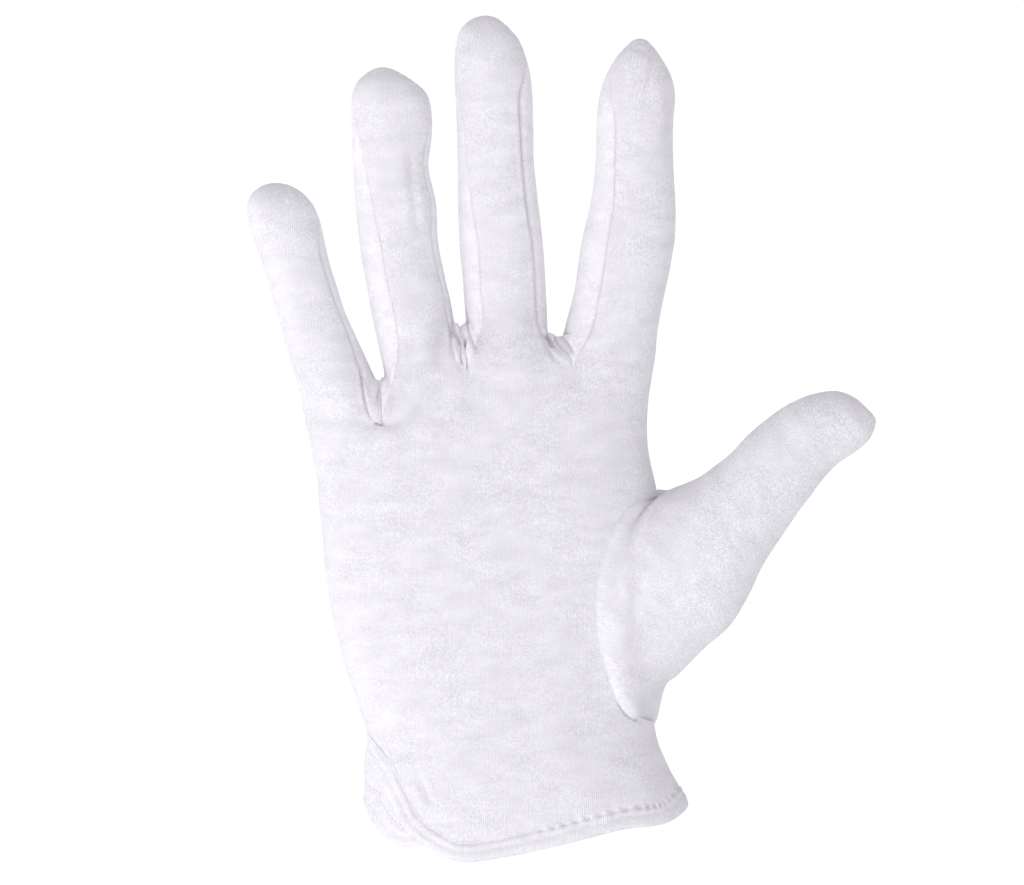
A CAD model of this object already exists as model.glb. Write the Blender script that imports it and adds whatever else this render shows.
import math
from collections import namedtuple

import bpy
import numpy as np
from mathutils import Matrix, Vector, kdtree, noise


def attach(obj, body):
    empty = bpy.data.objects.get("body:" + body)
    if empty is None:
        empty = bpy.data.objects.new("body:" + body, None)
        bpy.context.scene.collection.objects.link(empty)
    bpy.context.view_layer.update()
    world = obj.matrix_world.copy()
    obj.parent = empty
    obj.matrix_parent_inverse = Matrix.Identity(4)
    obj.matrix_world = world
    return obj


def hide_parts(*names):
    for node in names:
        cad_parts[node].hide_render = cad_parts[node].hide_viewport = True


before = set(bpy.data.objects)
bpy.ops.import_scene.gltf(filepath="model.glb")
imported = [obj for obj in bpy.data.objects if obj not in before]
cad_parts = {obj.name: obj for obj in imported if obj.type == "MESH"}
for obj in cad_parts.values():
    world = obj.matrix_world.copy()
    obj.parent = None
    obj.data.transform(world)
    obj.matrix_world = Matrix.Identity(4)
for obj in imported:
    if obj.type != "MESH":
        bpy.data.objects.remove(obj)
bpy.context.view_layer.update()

# The palm panel is the front of the palm and of all four fingers, cut in one piece from thin cotton
# jersey. It is sewn to the back panel down both sides and to the fourchettes between the fingers.
# Worn, it takes the form of the hand. Its sizes here are millimetres, and its mesh is metres.
MM = 0.001
CLOTH = 0.9
GRAIN = 0.85  # of the cloth's mesh
FINE_GRAIN = 0.4  # of the hems' mesh
SEAM_SLIT = 0.03
SHARP_ANGLE = math.radians(50)

PALM_SQUARENESS = 2.5
FINGER_SQUARENESS = 2.3
PALM_SIDE_ANGLE = 22
FLAT_TO = math.cos(math.radians(PALM_SIDE_ANGLE))
FINGER_SIDE_ANGLE = 40
STRIP_COLUMNS = 36
EVENLY = 0.35  # how evenly the columns are spread, not closer together at the seams
SIDE_COLUMNS = 8
VALLEY = 1.1
FOOT_WIDTH = 4.0
KNIT_TURNS = 2.2  # the finger's sections in which its knit turns from the palm's to its own
TIP_LENGTH = 26
TIP_SOFT_FOR = 8
SOFTNESS = 0.4
TIP_SOFTNESS = 2.0
TIP_CROWN = 0.8
TIP_SEAMS_MEET = 1.2


def table(columns, *rows):
    """Rows with named columns. The last ones are zero where a row leaves them out."""
    kind = namedtuple("Row", columns)
    return [kind(*row, *[0] * (len(kind._fields) - len(row))) for row in rows]


PALM = table(
    "left left_z right right_z front back",
    (-44.2, -9, 45.6, -9, 22.6, 23),
    (-43.8, 2, 45, 2, 22.6, 23),
    (-43.6, 12, 43.6, 11.5, 22.2, 22.6),
    (-43.6, 21, 39.2, 20, 21.4, 21.6),
    (-43, 29.1, 36, 27.7, 20.4, 20.3),
    (-45.2, 36.4, 34.9, 34.5, 19.6, 19),
    (-48.6, 46.5, 35.8, 46, 18.6, 17.4),
    (-51.6, 57.5, 37, 59.5, 17.6, 16),
    (-53.8, 70, 37.2, 75.5, 16.8, 15),
    (-54.9, 81.6, 36.4, 92, 16, 14.4),
    (-55.8, 90.4, 34.3, 102, 15.2, 13.9),
    (-56.6, 98.6, 33.2, 111, 14.5, 13.5),
    (-58, 106.6, 33.7, 120.5, 13.7, 13.1),
    (-59.8, 114.8, 35.4, 131.1, 13, 12.6),
)
KNUCKLES = PALM[-1]
KNUCKLE_ROW = len(PALM) - 1

CROTCHES = table(
    "front_x front_z top_x top_z back_x back_z web sag",
    (-38.6, 113.2, -39.6, 125.6, -38.6, 115.1, 2.4, 0.6),
    (-15.2, 126.6, -17.8, 140.1, -15.4, 127.8, 2.4, 0.6),
    (13.1, 128.1, 8.4, 137.2, 12.6, 128.6, 3.8, 0.3),
)

# The last three columns are the seams' angles from the finger's sides: in front on the left and on
# the right, and behind
FINGER_ROW = "left left_z right right_z lean depth left_seam right_seam back_seam"
LITTLE = table(
    FINGER_ROW,
    (-61.7, 123.5, -41.9, 128.1, 0, 9.8, 0, 46, 38),
    (-64.5, 132.7, -45.7, 136.5, 0.4, 9.4, 0, 36, 38),
    (-67.5, 143.6, -49, 144.4, 1.3, 9, 0, 35, 38),
    (-70.2, 153.4, -52.2, 154, 2.5, 8.7, 0, 36, 36),
    (-72.8, 160.8, -54.1, 160.8, 3.6, 8.4, 0, 34, 32),
    (-74.5, 166.2, -55.1, 165.9, 4.5, 8, 0, 20, 20),
    (-75.5, 170.8, -56.4, 170.8, 5.3, 7.1),
    (-75.1, 174.4, -58.6, 174.4, 6, 5.6),
    (-73.2, 176.8, -61.7, 177.1, 6.4, 3.6),
    (-69.4, 178.7, -66.6, 178.8, 6.6),
)
RING = table(
    FINGER_ROW,
    (-38.6, 128.7, -19.6, 142, 0, 10.2, 59, 31, 38),
    (-40.5, 137.6, -20.7, 149.1, 0.4, 10, 67, 30, 38),
    (-42.8, 149.6, -22.6, 157.2, 1.1, 9.8, 66, 31, 38),
    (-45, 162.7, -23.8, 165.1, 2.1, 9.6, 65, 32, 38),
    (-46.1, 174.1, -24.1, 173.3, 3.2, 9.5, 57, 28, 38),
    (-46.6, 182.8, -26.1, 183.1, 4.2, 9.3, 50, 28, 36),
    (-46.9, 190.9, -25.2, 191.2, 5.3, 9.1, 38, 24, 30),
    (-47.2, 198.3, -25.2, 198.3, 6.3, 8.6, 18, 12, 15),
    (-47.1, 202.6, -26.4, 202.9, 6.9, 7.6),
    (-45.7, 205.9, -30.2, 205.9, 7.4, 5.8),
    (-43.2, 208.1, -33.7, 208.1, 7.7, 3.6),
    (-39.7, 210.1, -37.3, 210.1, 7.8),
)
MIDDLE = table(
    FINGER_ROW,
    (-15.9, 142, 6.1, 139.5, 0, 10.4, 57, 38, 38),
    (-16.9, 150.7, 5.8, 149.3, 0.4, 10.3, 57, 42, 38),
    (-17.7, 161.3, 4.8, 161.3, 1, 10.1, 59, 41, 38),
    (-18.1, 171.9, 3.7, 171.9, 1.8, 10, 52, 46, 38),
    (-18.4, 182.2, 2.7, 182.2, 2.8, 9.8, 45, 47, 38),
    (-18.5, 192.6, 2.2, 192.6, 3.9, 9.6, 38, 49, 36),
    (-18.8, 201.3, 1.8, 201.6, 5, 9.3, 26, 48, 30),
    (-19, 208.9, 1.1, 209.2, 6, 8.8, 12, 26, 15),
    (-18.9, 214.9, -0.5, 214.9, 6.8, 7.6),
    (-17.7, 219.8, -3.3, 219.5, 7.4, 5.6),
    (-15, 222.8, -6.5, 222.5, 7.7, 3.1),
    (-11.4, 223.9, -9.2, 224, 7.8),
)
INDEX = table(
    FINGER_ROW,
    (10.9, 139.5, 36.3, 139.5, 0, 10.8, 68, 0, 38),
    (13.3, 149.3, 38.2, 149.1, 0.4, 10.5, 67, 0, 38),
    (15.6, 162.4, 40.3, 161.6, 1, 10.3, 66, 0, 38),
    (17.7, 172.4, 40.8, 170.8, 1.8, 10.1, 65, 0, 38),
    (18.9, 183.6, 40.4, 182.8, 2.9, 9.9, 62, 0, 38),
    (19.4, 193.7, 40.3, 193.7, 4, 9.6, 61, 0, 36),
    (20.4, 202.6, 40.6, 203.2, 5.1, 9, 46, 0, 28),
    (22.4, 208.4, 39.4, 208.4, 5.8, 8, 22, 0, 14),
    (25.2, 213, 36.7, 213, 6.4, 6),
    (27.9, 216, 34.3, 216.1, 6.7, 3.5),
    (30.4, 217.9, 31.7, 218, 6.8),
)
FINGERS = (LITTLE, RING, MIDDLE, INDEX)
FINGER_NAMES = ("little", "ring", "middle", "index")

# How marked the seams in front are: the finger's number and side, the heights, and how much
PALM_SEAMS = table(
    "finger side low high marked",
    (0, 1, 128, 163, 0.5), (1, -1, 132, 176, 0.28), (1, 1, 137, 196, 0.65), (2, -1, 146, 171, 0.3),
    (2, 1, 138, 207, 1), (3, -1, 135, 193, 0.42),
)
BACK_SEAM_MARKED = 0.5
SIDE_SEAM_MARKED = 0.22
SEAM_DEPTH, SEAM_SWELL, SEAM_DARK = 0.8, 0.2, 0.34
PUCKER, PUCKER_LENGTH = 0.12, 3.4
VENT_TOP = 36
WAVES = ((0.32, 21, 1), (0.14, 7.5, 2))  # how high and long they are, and the seed

# The cutting lines of the thumb hole and the wrist edge, and the height of the hem there
PALM_HOLE = table(
    "x z",
    (36.2, 94.5), (29.1, 90.6), (24.8, 85.1), (21.2, 76.2), (19.6, 66.4), (20.1, 56), (22.3, 47.6),
    (26.4, 38.1), (30.6, 33.6), (34.9, 31.8),
)
PALM_EDGE = table(
    "x z hem",
    (-43.4, 29, 0.3), (-41.9, 20.8, 4.8), (-37.1, 11.9, 4.9), (-33, 4.1, 5), (-26.5, -0.9, 4.8),
    (-18.4, -4.7, 4.9), (-7.5, -3.9, 5), (9.4, -0.4, 5.4), (26.2, 3.7, 5.5), (39, 5.4, 5.6),
    (48, 11.5, 6.4),
)

# Small folds and seam ends, as seen from the front: the line's points, how deep and wide it is, and
# how much darker the cloth is in it
FOLD = "line depth width dark"
GUSSET_FOLDS = table(
    FOLD,
    (((-44.9, 131), (-43.8, 122.4), (-43, 118.3), (-41.9, 115.1), (-40, 113.2)), 0.55, 0.4, 0.22),
    (((-40.8, 113.7), (-39.4, 113), (-38, 113.1)), 0.5, 0.32, 0.5),
    (((-39.2, 124.4), (-39.7, 121.3), (-41, 117.6)), 0.4, 0.4, 0.15),
    (((-38.2, 127.2), (-37.2, 124.9), (-36.7, 122.4)), 0.5, 0.8, 0.1),
    (((-35.4, 122), (-35.6, 117.5), (-36.7, 115.1), (-38.6, 113.2)), 0.2, 0.6, 0.06),
    (((-20.2, 139.6), (-19.9, 133.8), (-19.2, 131), (-18.4, 129.4)), 0.5, 0.45, 0.2),
    (((-15.9, 142), (-15.2, 138.2), (-13.9, 134.9), (-12.2, 131.4)), 0.5, 0.5, 0.26),
    (((-15.8, 137.4), (-16.2, 134.8), (-17, 131.8), (-16.7, 128.4)), 0.6, 0.5, 0.6),
    (((-22.3, 139.4), (-23.1, 133.3), (-23.9, 127.6)), 0.35, 1.4, 0.03),
    (((-19, 130.2), (-16.6, 127.4), (-13.8, 127.4)), 0.3, 0.5, 0.08),
    (((4, 140.4), (5.4, 135.2), (7.1, 132.2), (9.2, 129.7), (12.4, 128.2)), 0.4, 0.5, 0.1),
    (((6, 138), (6.9, 135.8), (7.7, 133.4)), 0.8, 0.8, 0.4),
    (((9.6, 137.3), (11.7, 134.6), (13.8, 131.4)), 0.6, 0.5, 0.28),
    (((17.2, 134.4), (15.8, 131.1), (13.2, 128.4)), 0.2, 0.6, 0.06),
)
PALM_FOLDS = table(
    FOLD,
    (((-28.8, 17.6), (-26.9, 14.2), (-24.9, 10.2)), 0.5, 1, 0.04),
    (((-42.4, 29.4), (-38.1, 23.7), (-35, 18.8)), 0.25, 0.45, 0.1),
    (((24.4, 40.4), (26.6, 36.2), (29.3, 33.4), (32.4, 32)), 0.4, 0.36, 0.5),
    (((-31.3, 189.5), (-30.5, 178.6), (-28.7, 162.5)), 0.42, 1.1, 0.03),
    (((-36.4, 188), (-37.2, 181), (-38.3, 173.5)), 0.18, 1.5),
    (((28.2, 216.2), (30.6, 214.4), (33.4, 213.4)), 0.22, 0.7, 0.06),
    (((32.8, 216.2), (34.3, 211.6), (33.2, 204.6), (32.4, 198)), 0.25, 0.8, 0.05),
    (((26.2, 211.6), (27, 206.8), (25.6, 199)), 0.22, 0.9),
    (((38.4, 207.6), (39, 198.4), (38.7, 186)), 0.35, 1.1, 0.05),
    (((28.8, 194.4), (28.2, 188)), 0.25, 1.2),
)
# Rounded swellings of the cloth beside them: the middle, half the size, and how far they rise
PUFFS = table(
    "x z wide high rise",
    (-40.4, 119.4, 2.4, 4.6, 1.2), (-36.6, 119.6, 2.2, 5, 0.4), (-18.8, 134, 1.7, 4, 1.1),
    (-14, 132.2, 1.6, 4.2, 0.8), (11.3, 131.6, 2.8, 2.6, 0.9),
)


def power(value, exponent):
    """A power that keeps the sign."""
    return np.sign(value) * np.abs(value) ** exponent


def smooth_step(value):
    value = np.clip(value, 0, 1)
    return value * value * (3 - 2 * value)


def bell(distance, width):
    return np.exp(-((distance / width) ** 2))


def stacked(*columns):
    return np.stack(np.broadcast_arrays(*columns), axis=-1)


def between_edges(section, part):
    """x and z at a part of the way from one edge of a section to the other."""
    x, z, end_x, end_z = section[:4]
    return x + (end_x - x) * part, z + (end_z - z) * part


def palm_points(section, across, face):
    """Points of a palm section, from -1 to 1 across. face is -1 on the palm side, 1 behind."""
    depth = section.front if face < 0 else section.back
    stand_off = (1 - np.abs(across) ** PALM_SQUARENESS).clip(0) ** (1 / PALM_SQUARENESS)
    x, z = between_edges(section, (across + 1) / 2)
    return stacked(x, face * depth * stand_off, z)


def across_palm(x, section=KNUCKLES):
    return 2 * (x - section.left) / (section.right - section.left) - 1


def fourchette_foot(crotch, face):
    """A fourchette's lowest point on one face, or the end of the knuckles' flat part."""
    if crotch in (-1, len(CROTCHES)):
        return palm_points(KNUCKLES, FLAT_TO if crotch > 0 else -FLAT_TO, face)
    front_x, front_z, _, _, back_x, back_z, *_ = CROTCHES[crotch]
    x, z = (front_x, front_z) if face < 0 else (back_x, back_z)
    y = palm_points(KNUCKLES, across_palm(x), face)[1] - face * VALLEY
    return np.array([x, y, z])


def knuckle_points(finger, parts, face):
    """Points of the knuckle line along the root of a finger."""
    start, end = fourchette_foot(finger - 1, face), fourchette_foot(finger, face)
    points = start + (end - start) * parts[:, None]
    left, left_z, right, right_z = KNUCKLES[:4]
    slope = (end[0] - start[0]) * (right_z - left_z) / (right - left)
    points[:, 2] = start[2] + (end[2] - start[2]) * smooth_step(parts)
    points[:, 2] += (finger == 0) * slope * (parts - 2 * parts**2 + parts**3)
    points[:, 2] += (finger == len(CROTCHES)) * slope * (parts**3 - parts**2)
    dip = (finger > 0) * np.cos(np.pi * np.minimum(parts, 0.5)) ** 2
    dip += (finger < len(CROTCHES)) * np.cos(np.pi * (1 - np.maximum(parts, 0.5))) ** 2
    points[:, 1] = palm_points(KNUCKLES, across_palm(points[:, 0]), face)[:, 1] - face * VALLEY * dip
    return points


def finger_points(row, angles):
    """Points of a finger section, at angles from its left side round its front."""
    angles = np.radians(angles)
    part = (1 - power(np.cos(angles), 2 / FINGER_SQUARENESS)) / 2
    forward = power(np.sin(angles), 2 / FINGER_SQUARENESS)
    x, z = between_edges(row, part)
    z += TIP_CROWN * (row.depth == 0) * 4 * part * (1 - part)
    return stacked(x, -row.lean - row.depth * forward, z)


def eased(f, start, end, start_slope, end_slope):
    """Points of a smooth line from start to end, f of the way along it."""
    line = (2 * f**3 - 3 * f**2 + 1) * start + (3 * f**2 - 2 * f**3) * end
    return line + (f**3 - 2 * f**2 + f) * start_slope + (f**3 - f**2) * end_slope


def smooth_rows(sections, knots, stations):
    """Rows of points at the stations of a smooth line through all the sections."""
    gaps, each = np.diff(knots), np.eye(len(knots))
    slopes = np.diff(each, axis=0) / gaps[:, None]
    over_two = (each[2:] - each[:-2]) / (gaps[:-1] + gaps[1:])[:, None]
    slopes = np.concatenate([slopes[:1], slopes[:-1] + slopes[1:] - over_two, slopes[-1:]])
    i = np.minimum(stations.astype(int), len(knots) - 2)
    gap = gaps[i][:, None]
    weights = eased((stations - i)[:, None], each[i], each[i + 1], slopes[i] * gap, slopes[i + 1] * gap)
    return np.tensordot(weights, sections, axes=1)


def section_knots(sections):
    """The mean way from each section to the next, summed up."""
    ways = np.linalg.norm(np.diff(sections, axis=0), axis=2).mean(axis=1)
    return np.hstack([0, np.cumsum(ways)])


def stations_between(knots, first, last, grain=GRAIN):
    """Stations about one grain apart, with one at each section."""
    counts = [max(1, math.ceil((knots[i + 1] - knots[i]) / grain)) for i in range(first, last)]
    inner = [i + np.arange(count) / count for i, count in zip(range(first, last), counts)]
    return np.hstack([*inner, last])


def close_at_seams(count):
    """Parts of the way across, closer together at both ends."""
    even = np.linspace(0, 1, count + 1)
    return EVENLY * even + (1 - EVENLY) * (0.5 - 0.5 * np.cos(np.pi * even))


def strip_sections(finger, face):
    """The sections of a finger's strip of a panel, from below the wrist edge to the tip."""
    rows = FINGERS[finger]
    first, last = finger == 0, finger == len(FINGERS) - 1
    parts = close_at_seams(STRIP_COLUMNS)
    start = -FLAT_TO if first else across_palm(CROTCHES[finger - 1].front_x)
    end = FLAT_TO if last else across_palm(CROTCHES[finger].front_x)
    palm = [palm_points(section, start + (end - start) * parts, face) for section in PALM[:-1]]
    palm.append(knuckle_points(finger, parts, face))
    digit = []
    for row in rows:
        low, high = (row.left_seam, row.right_seam) if face < 0 else (row.back_seam, row.back_seam)
        low, high = FINGER_SIDE_ANGLE if first else low, 180 - (FINGER_SIDE_ANGLE if last else high)
        digit.append(finger_points(row, -face * (low + (high - low) * parts)))
    sections = np.array(palm + digit)
    if not (first or last):
        return sections
    share = np.arange(SIDE_COLUMNS) / SIDE_COLUMNS
    across, angles = -np.cos(np.radians(PALM_SIDE_ANGLE * share)), FINGER_SIDE_ANGLE * share
    if last:
        across, angles = -across[::-1], 180 - angles[::-1]
    side = [palm_points(section, across, face) for section in PALM]
    side = np.array(side + [finger_points(row, -face * angles) for row in rows])
    return np.hstack([side, sections] if first else [sections, side])


def ways_across(points):
    """How far along the cloth each point is from the middle of its row."""
    ways = np.linalg.norm(np.diff(points, axis=1), axis=2)
    ways = np.hstack([np.zeros((len(points), 1)), np.cumsum(ways, axis=1)])
    middle = points.shape[1] // 2
    return ways - ways[:, middle : middle + 1]


def grid(points, across, along=None, flip=False):
    """A grid of points, with the coordinates across and along its knit."""
    along = points[..., 2] if along is None else along
    return {"points": points, "knit": stacked(across, along), "flip": flip}


strips = {face: [strip_sections(finger, face) for finger in range(len(FINGERS))] for face in (-1, 1)}
palm_knots = section_knots(np.hstack([strip[: KNUCKLE_ROW + 2] for strip in strips[-1]]))
palm_stations = stations_between(palm_knots, 0, KNUCKLE_ROW)
finger_knots, finger_stations = [], []
for strip in strips[-1]:
    knots = section_knots(strip[KNUCKLE_ROW - 1 :])
    knots += palm_knots[-1] - palm_knots[-3] - knots[2]
    knots[:2] = palm_knots[-3:-1] - palm_knots[-3]
    finger_knots.append(knots)
    finger_stations.append(stations_between(knots, 1, len(knots) - 1))


def rounded_strip(finger, face):
    """A finger's strip of a panel, softened near the tip together with the other face."""
    knots, stations = finger_knots[finger], finger_stations[finger]
    both = (strips[side][finger][KNUCKLE_ROW - 1 :] for side in (face, -face))
    own, other = (smooth_rows(strip, knots, stations) for strip in both)
    way = np.interp(stations, np.arange(len(knots)), knots)
    whole_way = np.hstack([way, 2 * way[-1] - way[-2::-1]])
    near_tip = smooth_step((way - way[-1] + TIP_LENGTH) / TIP_SOFT_FOR)
    softness = SOFTNESS + (TIP_SOFTNESS - SOFTNESS) * near_tip
    apart = (whole_way - way[:, None]) / softness[:, None]
    weights = np.gradient(whole_way) * np.exp(-(apart**2) / 2)
    weights /= weights.sum(axis=1, keepdims=True)
    softened = []
    for strip, beyond in ((own, other), (other, own)):
        soft = np.tensordot(weights, np.concatenate([strip, beyond[-2::-1]]), axes=1)
        softened.append(strip + near_tip[:, None, None] * (soft - strip))
    for column in (0, -1):
        apart = np.linalg.norm(own[:, column] - other[:, column], axis=1)
        together = bell(apart, TIP_SEAMS_MEET)[:, None]
        softened[0][:, column] += together * (softened[1][:, column] - softened[0][:, column]) / 2
    return softened[0]


def panel_grids(face):
    """A panel before it is cut: the grid of its palm, then one for each finger."""
    own = strips[face]
    palm = np.hstack([strip[: KNUCKLE_ROW + 2, (i > 0) :] for i, strip in enumerate(own)])
    column = own[0].shape[1] - 1
    for strip, following in zip(own, own[1:]):
        palm[-1, column] = (strip[KNUCKLE_ROW + 1, -1] + following[KNUCKLE_ROW + 1, 0]) / 2
        column += following.shape[1] - 1
    feet = [fourchette_foot(crotch, face)[0] for crotch in range(len(CROTCHES))]
    near_foot = sum(bell(palm[-2, :, 0] - foot, FOOT_WIDTH) for foot in feet)
    before, gap = np.diff(palm_knots)[-2:]
    onward = (palm[-2] - palm[-3]) * gap / before
    palm[-1] += near_foot[:, None] * (palm[-2] + onward - palm[-1])
    palm = smooth_rows(palm, palm_knots, palm_stations)
    middle = palm.shape[1] // 2
    palm_across = palm[:, middle : middle + 1, 0] + ways_across(palm)
    grids = [grid(palm, palm_across, flip=face > 0)]
    column = 0
    for finger, stations in enumerate(finger_stations):
        points = rounded_strip(finger, face)
        points[0] = palm[-1, column : column + points.shape[1]]
        middle = points[:, points.shape[1] // 2, 0][:, None]
        from_palm = palm_across[-1:, column : column + points.shape[1]] + (middle - middle[0])
        across = middle + ways_across(points)
        share = smooth_step((stations - 1) / KNIT_TURNS)[:, None]
        grids.append(grid(points, from_palm + (across - from_palm) * share, flip=face > 0))
        column += points.shape[1] - 1
    return grids


def points_key(points, fineness=1000):
    """Whole numbers that are equal where points meet, shifted so that round sizes aren't at a limit."""
    return np.floor(points * fineness + 0.37).astype(np.int64)


def sewn_sheet(grids):
    """A sheet of cloth from grids that share points."""
    points = np.vstack([g["points"].reshape(-1, 3) for g in grids])
    knit = np.vstack([g["knit"].reshape(-1, 2) for g in grids])
    corners, start = [], 0
    for g in grids:
        rows, columns = g["points"].shape[:2]
        number = start + np.arange(rows * columns).reshape(rows, columns)
        four = stacked(number[:-1, :-1], number[:-1, 1:], number[1:, 1:], number[1:, :-1])
        corners.append(four.reshape(-1, 4)[:, ::-1] if g["flip"] else four.reshape(-1, 4))
        start += rows * columns
    keys = np.hstack([points_key(points), points_key(knit, 20)])
    _, first, where = np.unique(keys, axis=0, return_index=True, return_inverse=True)
    corners = where.ravel()[np.vstack(corners)]
    triangles = np.vstack([corners[:, [0, 1, 2]], corners[:, [0, 2, 3]]])
    a, b, c = triangles.T
    triangles = triangles[(a != b) & (b != c) & (a != c)]
    return {"points": points[first], "knit": knit[first], "triangles": triangles}


def give_outward(sheets):
    """Gives sheets the outward direction at their points, the same where they are sewn."""
    points = np.vstack([sheet["points"] for sheet in sheets])
    _, where = np.unique(points_key(points), axis=0, return_inverse=True)
    sums = np.zeros((where.max() + 1, 3))
    wheres = np.split(where.ravel(), np.cumsum([len(sheet["points"]) for sheet in sheets])[:-1])
    for sheet, where in zip(sheets, wheres):
        a, b, c = (sheet["points"][corner] for corner in sheet["triangles"].T)
        for corner in sheet["triangles"].T:
            np.add.at(sums, where[corner], np.cross(b - a, c - a))
    sums /= np.linalg.norm(sums, axis=1, keepdims=True) + 1e-12
    for sheet, where in zip(sheets, wheres):
        sheet["outward"] = sums[where]


def smooth_line(rows, count):
    """Points along a smooth line through the rows of a table."""
    points = np.array(rows, float)
    place = np.linspace(0, len(points) - 1, count)
    i = np.minimum(place.astype(int), len(points) - 2)
    f = (place - i)[:, None]
    padded = np.vstack([points[:1], points, points[-1:]])
    before, start, end, after = (padded[i + k] for k in range(4))
    return eased(f, start, end, (end - before) / 2, (after - start) / 2)


def way_along(line):
    return np.hstack([0, np.cumsum(np.linalg.norm(np.diff(line, axis=0), axis=1))])


def even_line(line, spacing):
    """A line's points spaced evenly."""
    way = way_along(line)
    places = np.linspace(0, way[-1], max(2, math.ceil(way[-1] / spacing) + 1))
    return stacked(*(np.interp(places, way, column) for column in line.T))


def nearest(line, points):
    """The number of a line's nearest point to each point, and how far it is."""
    tree = kdtree.KDTree(len(line))
    for i, place in enumerate(line):
        tree.insert(place, i)
    tree.balance()
    found = [tree.find(point) for point in points]
    return np.array([f[1] for f in found]), np.array([f[2] for f in found])


def flat(points):
    """Points seen from the front."""
    return points * [1, 0, 1]


def seen_flat(line):
    return stacked(line[:, 0], 0, line[:, 1])


def seam(points, marked):
    """Rows of a seam: its points, how far along they are, and how marked it is."""
    line = even_line(points, 0.3)
    way = way_along(line)
    marked = np.broadcast_to(marked, len(points))
    return np.column_stack([line, way, np.interp(way, way_along(points), marked)])


def all_seams(palm_grids, back_grids):
    """The seams between the panels and along the fourchettes."""
    seams = []
    for grids in (palm_grids, back_grids):
        for row in PALM_SEAMS:
            points = grids[row.finger + 1]["points"][:, -1 if row.side > 0 else 0]
            z = points[:, 2]
            marked = smooth_step((z - row.low + 5) / 5) * smooth_step((row.high + 8 - z) / 8)
            marked = row.marked * marked + 0.05
            seams.append(seam(points, marked if grids is palm_grids else BACK_SEAM_MARKED))
        for finger, side in ((1, 0), (-1, -1)):
            points = np.vstack([grids[i]["points"][:, side] for i in (0, finger)])
            seams.append(seam(points, SIDE_SEAM_MARKED))
        seams += [seam(finger["points"][-1], SIDE_SEAM_MARKED) for finger in grids[1:]]
    return np.concatenate(seams)


def soft_noise(points, size, seed):
    """Soft random waves of about that size, from -1 to 1."""
    shift = Vector((seed * 17.3, seed * 5.1, seed * 9.7))
    return np.array([noise.noise(Vector(point) / size + shift) for point in points])


def worn_cloth(sheet, seams, folds=(), puffs=(), face=-1, seam_width=0.5):
    """Gives a sheet the waves, seams, folds and puffs of worn and sewn cloth."""
    points, outward = sheet["points"], sheet["outward"]
    lift = sum(height * soft_noise(points, size, seed) for height, size, seed in WAVES)
    hollow = np.zeros(len(points))
    faces_us = smooth_step((face * outward[:, 1] - 0.05) / 0.25)
    if len(seams):
        at, away = nearest(seams[:, :3], points)
        vented = (points[:, 0] < 0) * smooth_step((VENT_TOP - points[:, 2]) / 5)
        marked = seams[at, 4] * (1 - vented)
        uneven = soft_noise(stacked(seams[at, 3], 0, 0), PUCKER_LENGTH, 4)
        lift -= SEAM_DEPTH * marked * (1 + 0.3 * uneven) * bell(away, seam_width)
        lift += SEAM_SWELL * marked * bell(away - 1.3, 0.8)
        lift += PUCKER * (0.3 + marked) * uneven * bell(away, 3.2)
        hollow = SEAM_DARK * marked**0.75 * bell(away, 0.4)
    for fold in folds:
        line = even_line(seen_flat(smooth_line(fold.line, 60)), 0.2)
        margin = 4 * fold.width + 1
        inside = (flat(points) > line.min(axis=0) - margin) & (flat(points) < line.max(axis=0) + margin)
        near = np.flatnonzero(inside.all(axis=1) & (faces_us > 0))
        if not len(near):
            continue
        at, away = nearest(line, flat(points[near]))
        at, away = at / (len(line) - 1), away / fold.width
        fade = smooth_step(at / 0.22) * smooth_step((1 - at) / 0.22) * faces_us[near]
        lift[near] -= fold.depth * fade * (bell(away, 1) - 0.4 * bell(away - 2, 0.9))
        hollow[near] = np.maximum(hollow[near], fold.dark * fade * bell(away, 0.8))
    for puff in puffs:
        across = bell(points[:, 0] - puff.x, puff.wide)
        lift += puff.rise * faces_us * (across * bell(points[:, 2] - puff.z, puff.high))
    sheet["points"] = points + outward * lift[:, None]
    sheet["hollow"] = hollow


COLUMNS = ("points", "outward", "knit", "hollow")
COLUMNS_PART_AT = (3, 6, 8)
SNAP = 0.3  # points nearer to a cut than this part of an edge are moved onto it


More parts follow.
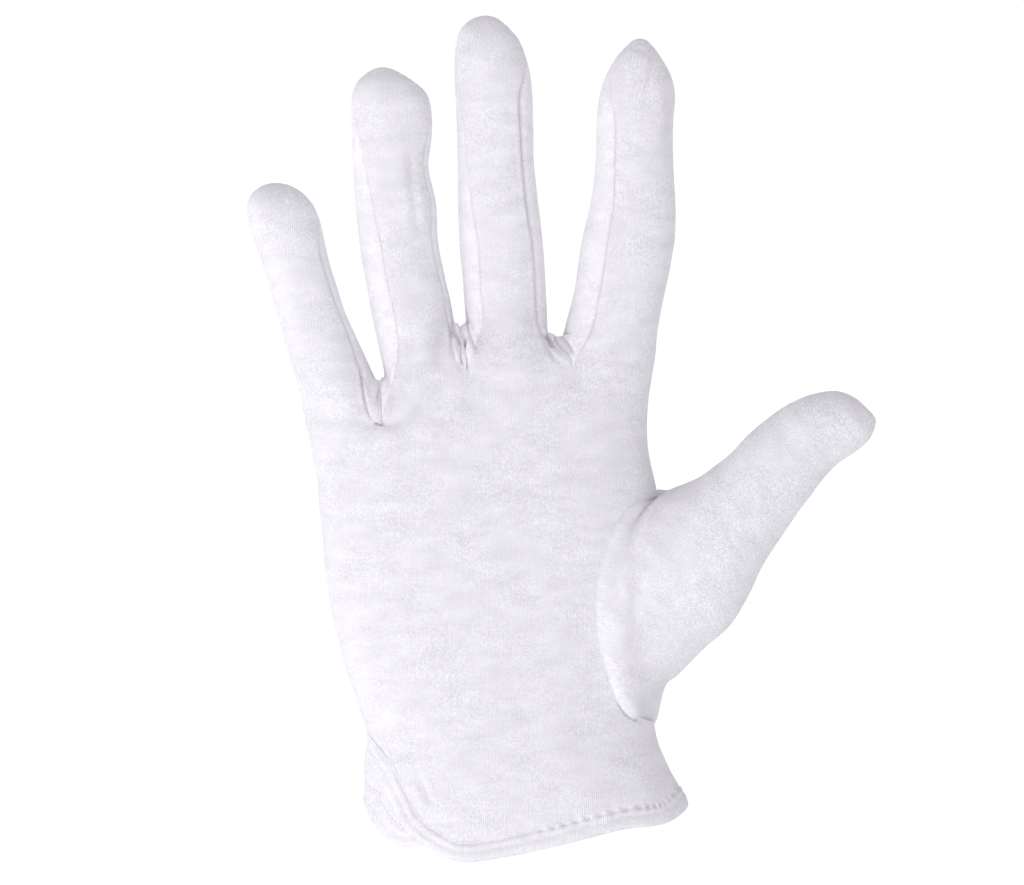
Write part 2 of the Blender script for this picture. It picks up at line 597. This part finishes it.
def cut_sheet(sheet, keep):
    """The part of a sheet where keep is above zero, cut along the line where it is zero."""
    data = np.column_stack([sheet[name] for name in COLUMNS])
    keep = keep.copy()
    triangles = sheet["triangles"]
    triangles = triangles[(keep[triangles] > 0).any(axis=1)]
    crossing = triangles[(keep[triangles] < 0).any(axis=1)]
    pairs = {tuple(sorted((t[i], t[(i + 1) % 3]))) for t in crossing.tolist() for i in range(3)}
    for a, b in sorted(pairs):
        if keep[a] * keep[b] >= 0:
            continue
        part = keep[a] / (keep[a] - keep[b])
        if part > 0.5:
            a, b, part = b, a, 1 - part
        if part < SNAP:
            data[a] += (data[b] - data[a]) * part
            keep[a] = 0
    kept = (keep[triangles] > 0).any(axis=1)
    crossed = (keep[triangles] < 0).any(axis=1)
    inside = triangles[kept & ~crossed].tolist()
    added, cuts = [], {}
    for triangle in triangles[kept & crossed].tolist():
        corners = []
        for a, b in zip(triangle, triangle[1:] + triangle[:1]):
            if keep[a] >= 0:
                corners.append(a)
            if keep[a] * keep[b] < 0:
                a, b = sorted((a, b))
                if (a, b) not in cuts:
                    cuts[a, b] = len(data) + len(added)
                    added.append(data[a] + (data[b] - data[a]) * (keep[a] / (keep[a] - keep[b])))
                corners.append(cuts[a, b])
        inside += [[corners[0], corners[i], corners[i + 1]] for i in range(1, len(corners) - 1)]
    if added:
        data = np.vstack([data, added])
    used, where = np.unique(np.array(inside), return_inverse=True)
    columns = np.split(data[used], COLUMNS_PART_AT, axis=1)
    cut = {name: column.squeeze() for name, column in zip(COLUMNS, columns)}
    return cut | {"triangles": where.reshape(-1, 3)}


def free_edges(triangles):
    """The edges that only one triangle has, each with the cloth on its left."""
    edges = np.vstack([triangles[:, [0, 1]], triangles[:, [1, 2]], triangles[:, [2, 0]]])
    size = triangles.max() + 1
    return edges[~np.isin(edges[:, 0] * size + edges[:, 1], edges[:, 1] * size + edges[:, 0])]


def draw_back(sheet):
    """Draws a sheet back from its free edges by half a seam's slit."""
    points, outward = sheet["points"], sheet["outward"]
    edges = free_edges(sheet["triangles"])
    inward = np.zeros_like(points)
    along = points[edges[:, 1]] - points[edges[:, 0]]
    for end in (0, 1):
        np.add.at(inward, edges[:, end], -np.cross(along, outward[edges[:, end]]))
    length = np.linalg.norm(inward, axis=1, keepdims=True)
    sheet["points"] = points + inward / np.maximum(length, 1e-9) * SEAM_SLIT / 2


def new_object(name, data):
    made = bpy.data.objects.new(name, data)
    bpy.context.collection.objects.link(made)
    return made


def thick_piece(name, sheet, cloth, outer=0, inner=-CLOTH):
    """A closed piece of cloth between two distances outward."""
    points, outward, triangles = sheet["points"], sheet["outward"], sheet["triangles"]
    count = len(points)
    sides = [points + outward * np.broadcast_to(side, count)[:, None] for side in (outer, inner)]
    a, b = free_edges(triangles).T
    rim = stacked(b, a, a + count, b + count)
    faces = triangles.tolist() + (triangles[:, ::-1] + count).tolist() + rim.tolist()
    mesh = bpy.data.meshes.new(name)
    mesh.from_pydata((np.concatenate(sides) * MM).tolist(), [], faces)
    corner = np.empty(len(mesh.loops), np.int32)
    mesh.loops.foreach_get("vertex_index", corner)
    knit = np.float32(sheet["knit"])[corner % count]
    mesh.uv_layers.new(name="knit").data.foreach_set("uv", knit.ravel())
    hollow = np.float32(np.concatenate([sheet["hollow"], 0 * sheet["hollow"]]))
    mesh.attributes.new("hollow", "FLOAT", "POINT").data.foreach_set("value", hollow)
    mesh.materials.append(cloth)
    mesh.validate()
    mesh.shade_smooth()
    mesh.set_sharp_from_angle(angle=SHARP_ANGLE)
    return new_object(name, mesh)


def add_node(tree, kind, sockets=(), **settings):
    """A shader node with its settings, and values or links on its sockets."""
    made = tree.nodes.new("ShaderNode" + kind)
    for setting, value in settings.items():
        setattr(made, setting, value)
    for socket, value in dict(sockets).items():
        if isinstance(value, bpy.types.NodeSocket):
            tree.links.new(value, made.inputs[socket])
        else:
            made.inputs[socket].default_value = value
    return made


def reckon(tree, operation, *values):
    return add_node(tree, "Math", enumerate(values), operation=operation).outputs[0]


# Jersey: wales run up the cloth as fine ribs of little loops. No two loops are alike, the yarn is
# fuzzy, and the fuzz shows more in some places than in others.
jersey_knit = bpy.data.node_groups.new("jersey knit", "ShaderNodeTree")
for name, way, kind in (
    ("Cloth", "INPUT", "NodeSocketVector"),
    ("Relief", "OUTPUT", "NodeSocketFloat"),
    ("Shade", "OUTPUT", "NodeSocketFloat"),
):
    jersey_knit.interface.new_socket(name, in_out=way, socket_type=kind)
WALE, COURSE = 0.57, 0.46  # the size of a loop


def of_knit(operation, *values):
    return reckon(jersey_knit, operation, *values)


def times(a, b, plus=0.0):
    return of_knit("MULTIPLY_ADD", a, b, plus)


def knit_noise(vector, scale, detail=1.0):
    """Noise in the knit, from about -0.5 to 0.5."""
    made = add_node(jersey_knit, "TexNoise", {"Vector": vector, "Scale": scale, "Detail": detail})
    return of_knit("SUBTRACT", made.outputs[0], 0.5)


into = jersey_knit.nodes.new("NodeGroupInput").outputs
apart = add_node(jersey_knit, "SeparateXYZ", {0: into["Cloth"]}).outputs
drifted = times(knit_noise(into["Cloth"], 0.09), 1.6, apart["X"])
wales = of_knit("DIVIDE", drifted, WALE)
side = times(of_knit("ABSOLUTE", of_knit("SUBTRACT", of_knit("FRACT", wales), 0.5)), 2.0)
ribbed = of_knit("SUBTRACT", 1.0, of_knit("POWER", side, 2.0))
courses = times(side, 0.6, of_knit("DIVIDE", apart["Y"], COURSE))
loops = of_knit("SINE", times(courses, 2 * math.pi))
knitted = times(ribbed, times(loops, 0.2, 0.8))
one_loop = {"X": of_knit("FLOOR", wales), "Y": of_knit("FLOOR", courses)}
one_loop = add_node(jersey_knit, "CombineXYZ", one_loop).outputs[0]
each_loop = add_node(jersey_knit, "TexWhiteNoise", {"Vector": one_loop}, noise_dimensions="3D")
each_loop = of_knit("SUBTRACT", each_loop.outputs[0], 0.5)
fuzz = knit_noise(into["Cloth"], 1.5, 2.0)
level = {"X": times(apart["X"], 0.45), "Y": apart["Y"]}
level = add_node(jersey_knit, "CombineXYZ", level).outputs[0]
cloud = knit_noise(level, 0.25, 2.0)
patchy = times(knit_noise(into["Cloth"], 0.07), 3.2, 0.75)
patchy = add_node(jersey_knit, "Clamp", {0: patchy, "Min": 0.3, "Max": 1.0}).outputs[0]
grain = times(each_loop, 0.13, times(fuzz, 0.27))
shade = times(knitted, 0.055, 0.95)
shade = times(grain, patchy, shade)
shade = times(cloud, 0.25, shade)
relief = times(times(fuzz, patchy), 1.6, knitted)
relief = times(each_loop, 0.35, relief)
result = jersey_knit.nodes.new("NodeGroupOutput").inputs
jersey_knit.links.new(relief, result["Relief"])
jersey_knit.links.new(shade, result["Shade"])

SHADOW_TONE = (0.3, 0.19, 0.23, 1)
RELIEF = 0.00011  # metres


def jersey(name, colour):
    """White cotton jersey, matt and a little downy, dark and warm in its seams."""
    material = bpy.data.materials.new(name)
    material.use_nodes = True
    tree = material.node_tree
    tree.nodes.clear()
    cloth = add_node(tree, "UVMap", uv_map="knit").outputs[0]
    knit = add_node(tree, "Group", node_tree=jersey_knit)
    tree.links.new(cloth, knit.inputs["Cloth"])
    hollow = add_node(tree, "Attribute", attribute_name="hollow").outputs["Fac"]
    shades = {0: colour, 1: knit.outputs["Shade"]}
    knitted = add_node(tree, "VectorMath", shades, operation="MULTIPLY").outputs[0]
    tone = add_node(tree, "Mix", {0: hollow, 6: knitted, 7: SHADOW_TONE}, data_type="RGBA")
    relief = {"Height": knit.outputs["Relief"], "Distance": RELIEF, "Strength": 1.0}
    bump = add_node(tree, "Bump", relief)
    cotton = {"Base Color": tone.outputs[2], "Normal": bump.outputs[0], "Roughness": 0.94}
    cotton |= {"Specular IOR Level": 0.25, "Sheen Weight": 0.34, "Sheen Roughness": 0.5}
    cotton = add_node(tree, "BsdfPrincipled", cotton)
    add_node(tree, "OutputMaterial", {"Surface": cotton.outputs[0]})
    return material


jersey_cloth = jersey("cotton_jersey", (0.852, 0.838, 0.876))

STITCH_PITCH = 3.3
END_PITCH = 2.2
END_STITCHES = 31.0  # where the stitches become shorter
OPEN_STITCHES = 1.0  # where they begin to draw holes in the cloth
UNDER_HEM = 0.6
UNDER_HEM_DEPTH = 0.55
GATHER = 0.34


def cutting_line(rows):
    """A cutting line seen flat, run on level to both sides."""
    line = smooth_line(rows, 1600)
    start, end = line[:1].copy(), line[-1:].copy()
    start[:, 0], end[:, 0] = (-90, 90) if start[0, 0] < 0 else (90, 90)
    line = even_line(np.vstack([start, line, end]), 0.1)
    along = np.gradient(line[:, :2], axis=0)
    pitch = STITCH_PITCH - (STITCH_PITCH - END_PITCH) * smooth_step((line[:, 0] - END_STITCHES) / 2)
    stitch = np.cumsum(np.linalg.norm(along, axis=1) / pitch)
    along /= np.linalg.norm(along, axis=1, keepdims=True)
    left = seen_flat(stacked(-along[:, 1], along[:, 0]))
    drawn = smooth_step((line[:, 0] - OPEN_STITCHES) / 7)
    return {"points": seen_flat(line), "left": left, "stitches": (line[:, -1], stitch, drawn)}


def place_by_line(line, points):
    """How far points are to the left of a line, with its hem and stitches there."""
    at, _ = nearest(line["points"], flat(points))
    left = ((flat(points) - line["points"][at]) * line["left"][at]).sum(axis=1)
    return left, *(column[at] for column in line["stitches"])


def hem_gather(above, hem, stitch, drawn):
    """How the stitching of a hem draws in the cloth above it."""
    between = 0.5 - 0.5 * np.cos(2 * np.pi * stitch)
    lift = drawn * (GATHER * between - 0.12) * bell(above - hem - 0.3, 1)
    return smooth_step(hem / 3) * (lift - 0.05 * bell(above - hem, 0.8))


def cut_panel(name, sheet, edge, hole, free_edge=None):
    """A panel cut at its wrist edge and at its thumb hole, and given its thickness."""
    above, hem, stitch, drawn = place_by_line(edge, sheet["points"])
    tuck = smooth_step((hem + UNDER_HEM - above) / 0.5)
    lift = hem_gather(above, hem, stitch, drawn) - UNDER_HEM_DEPTH * tuck
    sheet["points"] = sheet["points"] + sheet["outward"] * lift[:, None]
    under = np.minimum(hem - 1.0, hem * 0.5)
    keep = np.minimum(above - under, 0.5 - place_by_line(hole, sheet["points"])[0])
    if free_edge:
        x, y, z = sheet["points"].T
        flap = -place_by_line(free_edge, sheet["points"])[0]
        beside = np.where(y < SIDE_LINE, flap, np.maximum(flap, 0))
        keep = np.where((x < 0) & (z < 40) & (y < -SIDE_LINE), np.minimum(keep, beside), keep)
    sheet = cut_sheet(sheet, keep)
    draw_back(sheet)
    return thick_piece(name, sheet, jersey_cloth)


# The back panel's flap, which comes round the little finger side below the palm panel's vent
SIDE_LINE = -0.5
FLAP_UNDER = 2.4
FLAP_ANGLES = np.linspace(50, 0, 26)
FLAP_ROWS = 6


def flap_points(section):
    """Points of the flap, from under the palm panel to the little finger side."""
    angles = np.radians(FLAP_ANGLES)
    under = FLAP_UNDER * smooth_step(angles / 0.32)
    points = palm_points(section, -np.cos(angles), -1)
    return points + stacked(under * np.cos(angles), under * np.sin(angles), 0)


def flap_grid():
    sections = [flap_points(section) for section in PALM[: FLAP_ROWS + 1]]
    stations = palm_stations[palm_stations <= FLAP_ROWS - 1]
    points = smooth_rows(sections, palm_knots[: FLAP_ROWS + 1], stations)
    across = ways_across(points)
    return grid(points, across - across[:, -1:] + points[:, -1:, 0], flip=True)


palm_grids, back_grids = panel_grids(-1), panel_grids(1)
palm_sheet, back_sheet = sewn_sheet(palm_grids), sewn_sheet(back_grids + [flap_grid()])
seams = all_seams(palm_grids, back_grids)

# Between the fingers: a fourchette is a narrow strip of the same jersey that goes up the side of one
# finger, down the side of the next, and makes their thickness. Its web lies in the crotch.
ARM_COLUMNS = 26
WEB_ROWS = 6
WEB_RISE = 0.27  # the part of its depth in which a web rises to its full height
WEB_ROUNDNESS = 1.4


def web_points(crotch, parts, side):
    """Points of the web between two fingers, from the palm side to the back."""
    sizes = CROTCHES[crotch]
    rise = 1 - (1 - np.minimum(np.minimum(parts, 1 - parts) / WEB_RISE, 1)) ** WEB_ROUNDNESS
    start, end = fourchette_foot(crotch, -1), fourchette_foot(crotch, 1)
    points = start + (end - start) * parts[:, None]
    points[:, 0] += (sizes.top_x - points[:, 0]) * rise + side * sizes.web * rise / 2
    points[:, 2] += (sizes.top_z - points[:, 2]) * rise - sizes.sag * (1 - side**2) * rise
    points[[0, -1]] = start, end
    return points


def along_arm(points, half_web):
    """How far each row of an arm is from the middle of the web."""
    return half_web + way_along(points[:, points.shape[1] // 2])[:, None]


def fourchette_arm(finger, side):
    """A fourchette's arm up one side of a finger, -1 for the left and 1 for the right."""
    crotch = finger - 1 if side < 0 else finger
    rows = FINGERS[finger]
    last = next(i for i, row in enumerate(rows) if row.back_seam == 0) + 1
    parts = close_at_seams(ARM_COLUMNS)
    sections = [web_points(crotch, parts, -side)]
    for row in rows[:last]:
        seam = row.left_seam if side < 0 else row.right_seam
        angles = seam + (-row.back_seam - seam) * parts
        sections.append(finger_points(row, angles if side < 0 else 180 - angles))
    stations = finger_stations[finger]
    stations = stations[stations <= last + 1] - 1
    points = smooth_rows(sections, finger_knots[finger][1 : last + 2], stations)
    column = 0 if side < 0 else -1
    spread = 1 + 2 * smooth_step((stations[-1] - stations) / 3)[:, None, None]
    for place, panel, share in ((0, palm_grids, 1 - parts), (-1, back_grids, parts)):
        edge = panel[finger + 1]["points"][: len(points), column]
        points += (edge - points[:, place])[:, None] * share[None, :, None] ** spread
        points[:, place] = edge
    return points


def fourchette_sheet(crotch):
    left, right = fourchette_arm(crotch, 1), fourchette_arm(crotch + 1, -1)
    parts = close_at_seams(ARM_COLUMNS)
    sides = np.linspace(-1, 1, WEB_ROWS + 1)
    web = np.array([web_points(crotch, parts, side) for side in sides])
    half_web = CROTCHES[crotch].web / 2
    left = grid(left, ways_across(left), -along_arm(left, half_web))
    web = grid(web, ways_across(web), half_web * sides[:, None], flip=True)
    right = grid(right, ways_across(right), along_arm(right, half_web), flip=True)
    return sewn_sheet([left, web, right])


gusset_cloth = jersey("gusset_jersey", (0.92, 0.905, 0.945))
fourchette_sheets = [fourchette_sheet(crotch) for crotch in range(len(CROTCHES))]
give_outward([palm_sheet, back_sheet, *fourchette_sheets])
for crotch, sheet in enumerate(fourchette_sheets):
    worn_cloth(sheet, seams, GUSSET_FOLDS, PUFFS, seam_width=1.4)
    draw_back(sheet)
    name = "_".join(FINGER_NAMES[crotch : crotch + 2])
    fourchette = thick_piece(f"{name}_fourchette", sheet, gusset_cloth)
    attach(fourchette, "root")
    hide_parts(f"fourchette_{name}")

worn_cloth(palm_sheet, seams, GUSSET_FOLDS + PALM_FOLDS, PUFFS)
palm_edge = cutting_line(PALM_EDGE)
palm_panel = cut_panel("palm_jersey", palm_sheet, palm_edge, cutting_line(PALM_HOLE))
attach(palm_panel, "root")
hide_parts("palm_panel")

# The back panel is the other side of the hand and the fingers, from the same jersey. It has its own
# half of the thumb hole. At the wrist it comes round the little finger side, under the palm's edge.
BACK_HOLE = table(
    "x z",
    (36.2, 94.5), (31.6, 88), (28.6, 76), (27.6, 63), (28.8, 48), (31.6, 37.6), (34.9, 31.8),
)
BACK_EDGE = table(
    "x z hem",
    (-44.2, 10.2, 4.4), (-43, 7.2, 4.6), (-40.3, 3.1, 4.8), (-36.5, 0, 5), (-32.4, -1.3, 5),
    (-27, -0.8, 5), (-7.6, -0.2, 5), (9.5, 2.2, 5), (26.4, 5.2, 5.2), (39, 7.4, 5.6),
    (48, 11.5, 6.4),
)
FLAP_EDGE = table("x z", (-44.4, 30.2), (-40.4, 22), (-35, 10), (-29.6, 0.6), (-26, -8))
worn_cloth(back_sheet, seams, face=1)
back_edge = cutting_line(BACK_EDGE)
back_hole, flap_edge = cutting_line(BACK_HOLE), cutting_line(FLAP_EDGE)
back_panel = cut_panel("back_jersey", back_sheet, back_edge, back_hole, flap_edge)
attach(back_panel, "root")
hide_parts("back_panel")

# The thumb is one piece of jersey rolled into a tapered sleeve, with its own seam behind. It is sewn
# into the hole of the two panels, where its eased cloth stands up as a soft ridge beside the seam.
THUMB_COLUMNS = 132
THUMB_GRAIN = 0.7
THUMB_WAY = (0.78, 0.0, 0.62)
BACK_BOW = 0.45
THUMB_SQUARENESS = 2.05
# Rows of the rolled edge in the hole: how far in from the seam, how far risen in front and behind,
# how far on from the ends of the hole to the sleeve, and how much tucked in at the lower end
ROOT_ROWS = (
    (0.5, -1.2, -0.6, 0, 1),
    (0.7, 0.6, 0.1, 0.1, 0.2),
    (1.5, 1.9, 0.2, 0.25, 0),
    (3.0, 2.8, 0.0, 0.5, 0),
    (5.2, 3.3, -0.3, 1, 0),
)
ROOT_TUCK = np.array([1.1, 0.9])
LOW_END, TUCK_END = 0.12, 0.2  # the parts of the hole that they take up
BACK_MIDDLE = np.array([52.0, 63.1])  # the point that the root's rows close in on behind
THUMB = table(
    "upper upper_z lower lower_z front_y back_y bow",
    (42.3, 95.2, 41.6, 46.3, -19.6, 11.4, 11.4),
    (45.5, 96.5, 48.5, 53.4, -20.7, 10.6, 9),
    (48.9, 98.2, 54.7, 59, -21.4, 9.6, 6.5),
    (52.2, 100.8, 59.3, 66, -21.7, 8, 4.1),
    (56.5, 104.4, 63.4, 74.7, -21.8, 5.8, 2.2),
    (60.9, 109.2, 69.3, 84.2, -21.8, 3.4, 0.8),
    (66.1, 113.8, 75.9, 93.4, -21.6, 1.2),
    (72.1, 117.7, 83.2, 102.4, -21, -0.8),
    (78.9, 120.3, 89.4, 107, -20, -2.6),
    (84.3, 120.9, 92.7, 110.2, -18.4, -4.6),
    (88.5, 119.5, 94, 113.6, -15.8, -7.2),
    (91.3, 117.3, 93.4, 115.2, -11.4, -11.4),
)
THUMB_FOLDS = table(
    FOLD,
    (((23.6, 72), (25.4, 62), (27.7, 52.2), (30.8, 47), (34.6, 40)), 0.35, 1.3, 0.02),
    (((29.2, 72.6), (35.4, 67.5), (43.6, 64)), 0.6, 1.6, 0.02),
    (((35, 77.6), (44, 72.6), (50, 67.2)), 0.4, 1.6),
    (((31, 62), (37, 57.4), (43.4, 54.6)), 0.4, 1.7),
    (((92.2, 116.4), (91.2, 113), (91.3, 108.8)), 0.6, 0.5, 0.22),
)


def palm_surface_y(x, z, face):
    """Where a face of the palm is, in front of or behind a point."""
    at = [palm_points(section, np.clip(across_palm(x, section), -1, 1), face) for section in PALM]
    _, y, height = np.array(at).T
    return np.interp(z, height, y)


SLEEVE_ENDS = np.array([(38.9, 94.2), (36.7, 39.4)])


def thumb_root(angles, inset, front_rise, back_rise, onward, tucked):
    """A row of the thumb's end in its hole."""
    lines = [even_line(smooth_line(hole, 900), 0.05) for hole in (PALM_HOLE, BACK_HOLE)]
    front_middle = (lines[0][0] + lines[0][-1]) / 2
    points = []
    for angle in angles % 360:
        front = angle <= 180
        face, part = (-1, angle / 180) if front else (1, (360 - angle) / 180)
        line, middle = (lines[0], front_middle) if front else (lines[1], BACK_MIDDLE)
        seam = line[round(part * (len(line) - 1))]
        bulge = max(0.0, math.sin(math.radians(angle if front else angle - 180)))
        place = seam + (middle - seam) / np.linalg.norm(middle - seam) * inset * bulge
        end = int(part > 0.5)
        x, z = place + (SLEEVE_ENDS[end] - line[-end]) * onward * (1 - bulge) ** 2
        x, z = (x, z) - ROOT_TUCK * tucked * bell(1 - part, TUCK_END)
        rise = (front_rise if front else back_rise) * bulge * (1 - 0.6 * bell(1 - part, LOW_END))
        y = palm_surface_y(*seam, face) + face * rise
        points.append((x, y * min(1, 4 * bulge), z))
    return np.array(points)


def thumb_points(row, angles):
    """Points of a thumb section, at angles from its upper edge round its front."""
    to_upper = power(np.cos(np.radians(angles)), 2 / THUMB_SQUARENESS)
    forward = power(np.sin(np.radians(angles)), 2 / THUMB_SQUARENESS)
    x, z = between_edges(row, (1 - to_upper) / 2)
    x -= row.bow * np.abs(forward) * np.where(forward > 0, 1, BACK_BOW)
    y = (row.front_y + row.back_y) / 2 - forward * (row.back_y - row.front_y) / 2
    return stacked(x, y, z)


angles = np.linspace(-90, 270, THUMB_COLUMNS + 1)
thumb_sections = [thumb_root(angles, *row) for row in ROOT_ROWS]
thumb_sections += [thumb_points(row, angles) for row in THUMB]
thumb_knots = section_knots(thumb_sections)
stations = stations_between(thumb_knots, 0, len(thumb_sections) - 1, THUMB_GRAIN)
thumb_grid = smooth_rows(thumb_sections, thumb_knots, stations)
thumb_grid[:, -1] = thumb_grid[:, 0]
thumb_along = thumb_grid @ THUMB_WAY
thumb_sheet = sewn_sheet([grid(thumb_grid, ways_across(thumb_grid), thumb_along, flip=True)])
give_outward([thumb_sheet])
worn_cloth(thumb_sheet, [], THUMB_FOLDS)
draw_back(thumb_sheet)
thumb = thick_piece("thumb_jersey", thumb_sheet, jersey_cloth)
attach(thumb, "root")
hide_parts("thumb")

# The hems: the wrist edge of each panel, and the edge of the little finger side's vent, is turned in
# once and sewn down with a running stitch of thick white thread, which draws the cloth in.
HEM_COLUMNS = 300
HEM_SECTIONS = 7
HEM_WALL = 1.7
HEM_TURN = 2.2
HEM_EDGE = 0.95  # how far its edges are rounded
HEM_ROLL, HEM_FLAT, HEM_PUFF = 0.38, 0.2, 0.16
STITCH_HOLE = math.sqrt(0.02)  # its half length, as a part of a stitch
FLAP_LINE_FADES = 0.6
HEM_LINE_FADES = 16  # the height above which the vent's stitches hardly show


def hem_sheet(edge, face):
    """The strip of a panel that its hem covers, finely divided."""
    across = -np.cos(np.linspace(0, math.pi, HEM_COLUMNS + 1))
    sections = np.array([palm_points(section, across, face) for section in PALM[:HEM_SECTIONS]])
    if face > 0:
        flap = [flap_points(section) for section in PALM[:HEM_SECTIONS]]
        sections = np.hstack([flap, sections[:, 1:]])
    hem_stations = stations_between(palm_knots, 0, HEM_SECTIONS - 2, FINE_GRAIN)
    points = smooth_rows(sections, palm_knots[:HEM_SECTIONS], hem_stations)
    across = points[:, HEM_COLUMNS // 2, 0][:, None] + ways_across(points)
    sheet = sewn_sheet([grid(points, across, flip=face > 0)])
    give_outward([sheet])
    sheet["hollow"] = np.zeros(len(sheet["points"]))
    above, hem, *_ = place_by_line(edge, sheet["points"])
    sheet = cut_sheet(sheet, np.minimum(above + 0.6, hem + UNDER_HEM + 0.6 - above))
    worn_cloth(sheet, seams)
    above, hem, *_ = place_by_line(edge, sheet["points"])
    return cut_sheet(sheet, np.minimum(above, hem + UNDER_HEM - above))


def hem_piece(name, edge, face):
    """A turned hem: a flat roll of cloth, pinched and holed along its line of stitches."""
    sheet = hem_sheet(edge, face)
    above, hem, stitch, drawn = place_by_line(edge, sheet["points"])
    width = smooth_step(hem / 3)
    rounded = np.sqrt(np.clip(1 - (1 - np.clip(above / HEM_EDGE, 0, 1)) ** 2, 0, 1))
    between = 0.5 - 0.5 * np.cos(2 * np.pi * stitch)
    from_stitch = above - (hem - 0.1)
    fold = np.maximum(hem - HEM_TURN, 0.5)
    roll = np.sin(np.pi * np.clip(above / fold, 0, 1)) ** 0.8
    flat_part = np.sin(np.pi * np.clip((above - fold) / HEM_TURN, 0, 1))
    x, y, z = sheet["points"].T
    on_flap = FLAP_LINE_FADES * (y < 0) * (face > 0)
    sewn = 1 - (x < 0) * np.maximum(smooth_step((z - HEM_LINE_FADES) / 6), on_flap)
    outer = HEM_ROLL * roll + (HEM_FLAT + HEM_PUFF * drawn * between) * flat_part
    outer -= (1 - drawn) * 0.26 * sewn * bell(from_stitch, 0.35)
    outer -= drawn * (0.5 - 0.42 * between) * bell(from_stitch, 0.55)
    hole = bell(from_stitch, 0.5) * bell((stitch + 0.5) % 1 - 0.5, STITCH_HOLE) * drawn
    outer = width * (outer - 0.4 * hole) + hem_gather(above, hem, stitch, drawn) * (above > hem)
    middle = HEM_FLAT - HEM_WALL / 2
    inner = middle - (HEM_WALL / 2 - 0.1 + 0.3 * roll * width) * rounded
    outer = middle + (outer - middle) * rounded
    line = (1 - drawn) * 0.15 * bell(from_stitch, 0.3)
    line += 0.03 * bell(from_stitch + HEM_TURN, 0.5)
    sheet["hollow"] = width * sewn * np.maximum(line, 0.2 * hole)
    made = thick_piece(name, sheet, jersey_cloth, outer, inner)
    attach(made, "root")
    return made


palm_hem = hem_piece("palm_turned_hem", palm_edge, -1)
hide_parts("palm_hem")
back_hem = hem_piece("back_turned_hem", back_edge, 1)
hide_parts("back_hem")

# The studio: a pale floor below the glove, a white surround, and two soft lights from the front and
# below, the nearer one on the left, which leave the tips and the right sides a little darker.
bpy.ops.mesh.primitive_circle_add(vertices=96, radius=0.7, fill_type="NGON", location=(0, 0, -0.4))
floor = bpy.context.object
floor.name = "floor"
floor_paint = bpy.data.materials.new("pale_floor")
floor_paint.use_nodes = True
paint = floor_paint.node_tree.nodes["Principled BSDF"].inputs
paint["Base Color"].default_value = (0.92, 0.92, 0.93, 1)
paint["Roughness"].default_value = 0.7
floor.data.materials.append(floor_paint)

# The surround is brighter behind and to the left of the glove, and less bright above it
surround = bpy.data.worlds.new("white_surround")
bpy.context.scene.world = surround
surround.use_nodes = True
sky = surround.node_tree
towards = add_node(sky, "TexCoord").outputs["Generated"]
towards = add_node(sky, "SeparateXYZ", {0: towards}).outputs
strength = 0.97
for axis, slope in (("X", -0.16), ("Y", 0.1), ("Z", -0.38)):
    strength = reckon(sky, "MULTIPLY_ADD", towards[axis], slope, strength)
sky.nodes["Background"].inputs["Color"].default_value = (1.0, 0.985, 1.02, 1)
sky.links.new(strength, sky.nodes["Background"].inputs["Strength"])

LIGHTS_AIM = Vector((0, 0, 0.1))
for name, place, size, energy in (
    ("key_light", (-0.4, -0.42, -0.3), 0.35, 1.45),
    ("fill_light", (0.1, -1.5, -0.45), 0.8, 2.85),
):
    lamp = new_object(name, bpy.data.lights.new(name, "AREA"))
    lamp.data.shape, lamp.data.size, lamp.data.energy = "DISK", size, energy
    lamp.location = place
    lamp.rotation_euler = (LIGHTS_AIM - Vector(place)).to_track_quat("-Z", "Y").to_euler()

camera = new_object("camera", bpy.data.cameras.new("camera"))
camera.location = (-0.0035, -2.0, 0.1081)
camera.rotation_euler = (math.radians(90), 0, 0)
camera.data.sensor_width = 36
camera.data.lens = 258.5
camera.data.clip_end = 50
bpy.context.scene.camera = camera
bpy.context.scene.view_settings.view_transform = "Standard"
